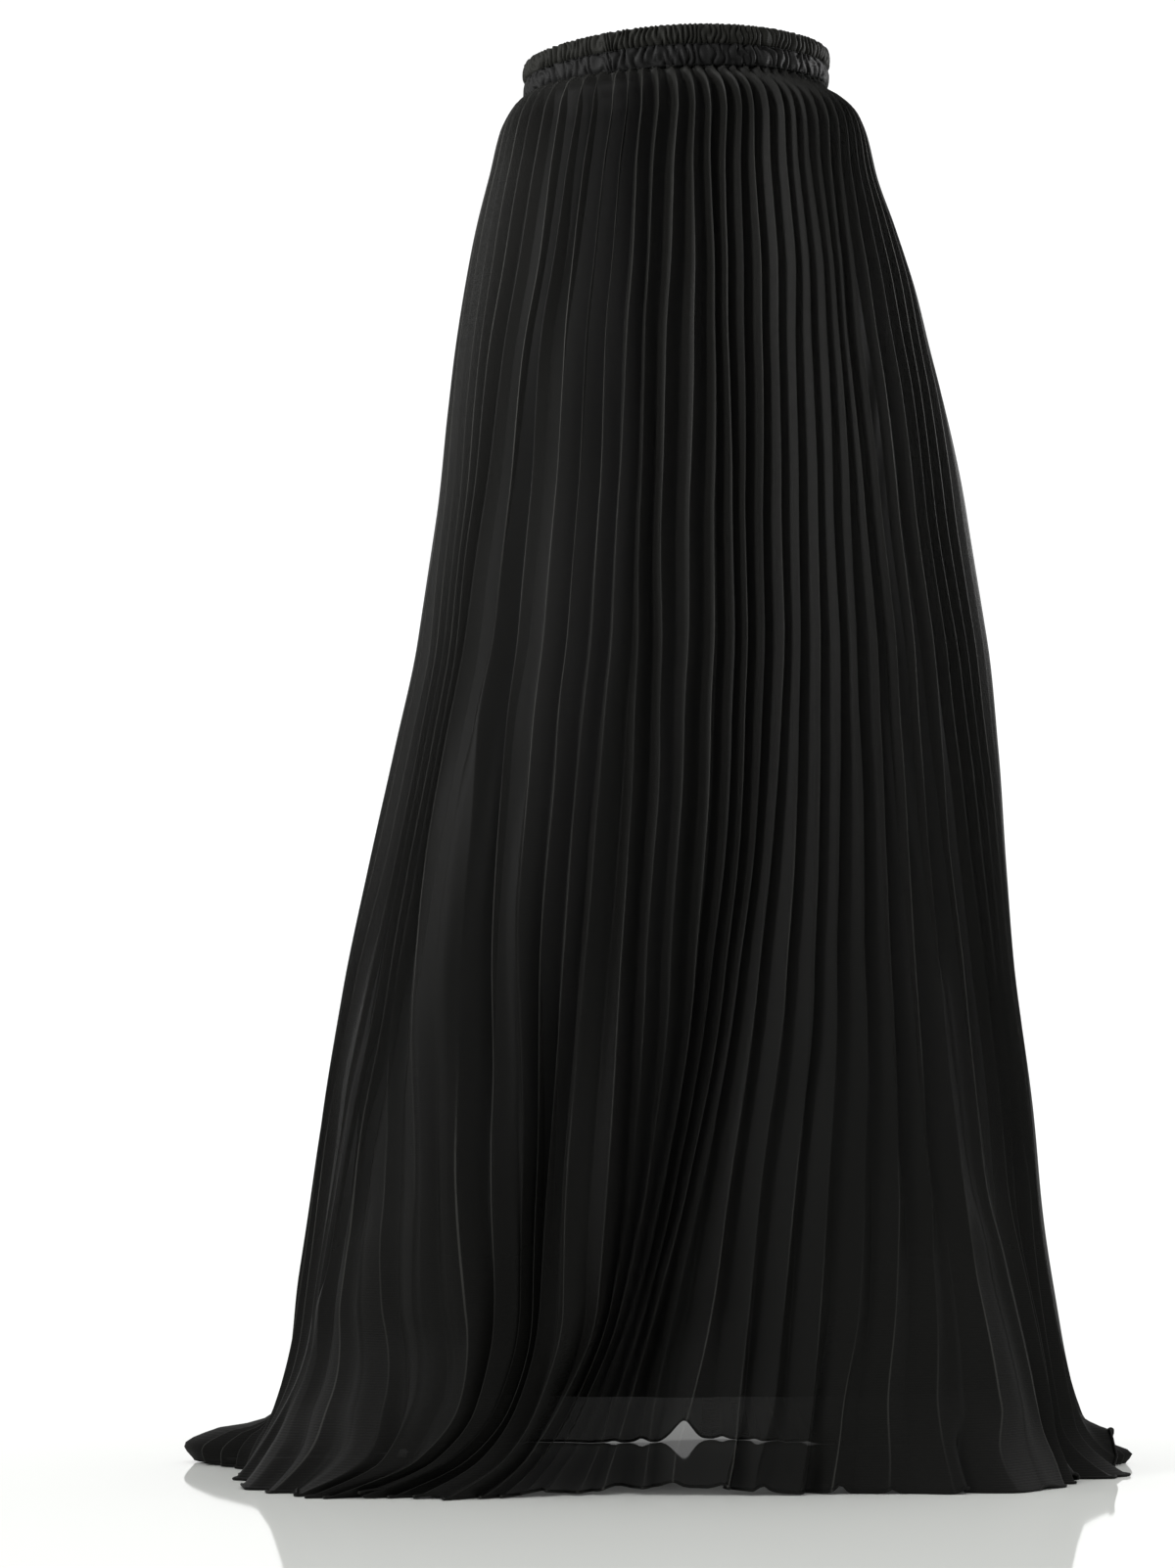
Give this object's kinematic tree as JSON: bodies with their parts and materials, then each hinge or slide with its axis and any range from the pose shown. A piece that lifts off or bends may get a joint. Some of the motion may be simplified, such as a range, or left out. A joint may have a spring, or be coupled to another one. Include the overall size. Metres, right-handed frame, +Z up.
{
  "type": "pleated maxi skirt",
  "caption": "Floor-length accordion-pleated skirt with an elasticated waist in two gathered tiers and a shorter lining, hanging as worn, with its hem breaking on the floor.",
  "frame": {"origin": "the middle of the waist, half way up the two casings, where the wearer's waist holds the skirt", "axes": "+Z up, -Y to the wearer's front, +X to the wearer's left"},
  "size_m": [0.7017, 0.5551, 1.0666],
  "materials": {
    "casing": "matt black crepe chiffon, gathered over elastic",
    "chiffon": "black crepe chiffon in sharp heat-set pleats, see-through in a single layer",
    "lining": "smooth opaque black lining"
  },
  "bodies": {
    "root": {"waistband_upper": "casing", "waistband_lower": "casing", "skirt_front": "chiffon", "skirt_back": "chiffon", "lining_front": "lining", "lining_back": "lining"}
  },
  "joints": []
}
